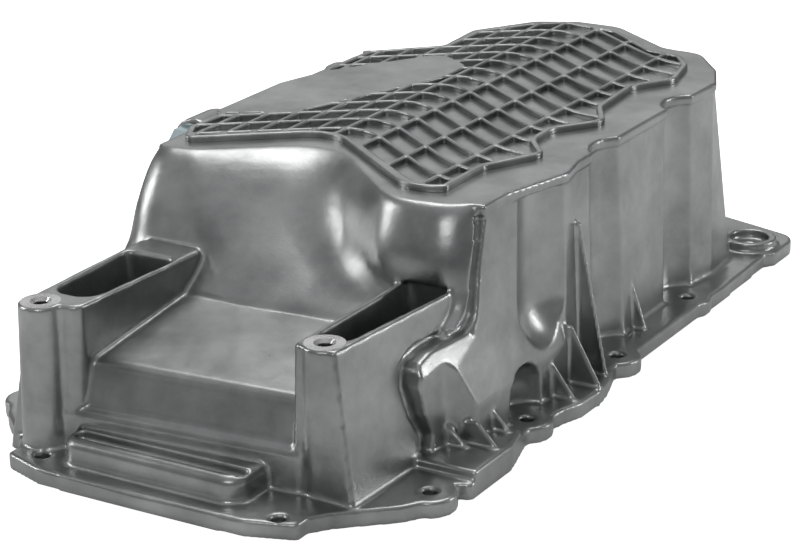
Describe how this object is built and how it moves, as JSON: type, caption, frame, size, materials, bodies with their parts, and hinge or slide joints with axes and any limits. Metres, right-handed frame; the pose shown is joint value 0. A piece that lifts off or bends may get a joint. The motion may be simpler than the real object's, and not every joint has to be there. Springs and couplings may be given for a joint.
{
  "type": "engine oil pan",
  "caption": "Cast aluminium engine oil pan with a bolted rail, a deep sump with a ribbed bottom, two threaded posts and a drain plug.",
  "frame": {"origin": "centre of the flange's sealing face", "axes": "+Z away from the sealing face towards the bottom of the sump, +Y from the shallow end to the deep end, +X to the right seen from the shallow end"},
  "size_m": [0.25, 0.472, 0.116],
  "materials": {
    "cast_aluminium": "bare die-cast aluminium, satin, with a light sheen",
    "zinc_steel": "blue-white zinc plate",
    "washer_aluminium": "plain aluminium"
  },
  "bodies": {
    "root": {"oil_pan": "cast_aluminium", "drain_plug": "zinc_steel", "drain_washer": "washer_aluminium"}
  },
  "joints": []
}
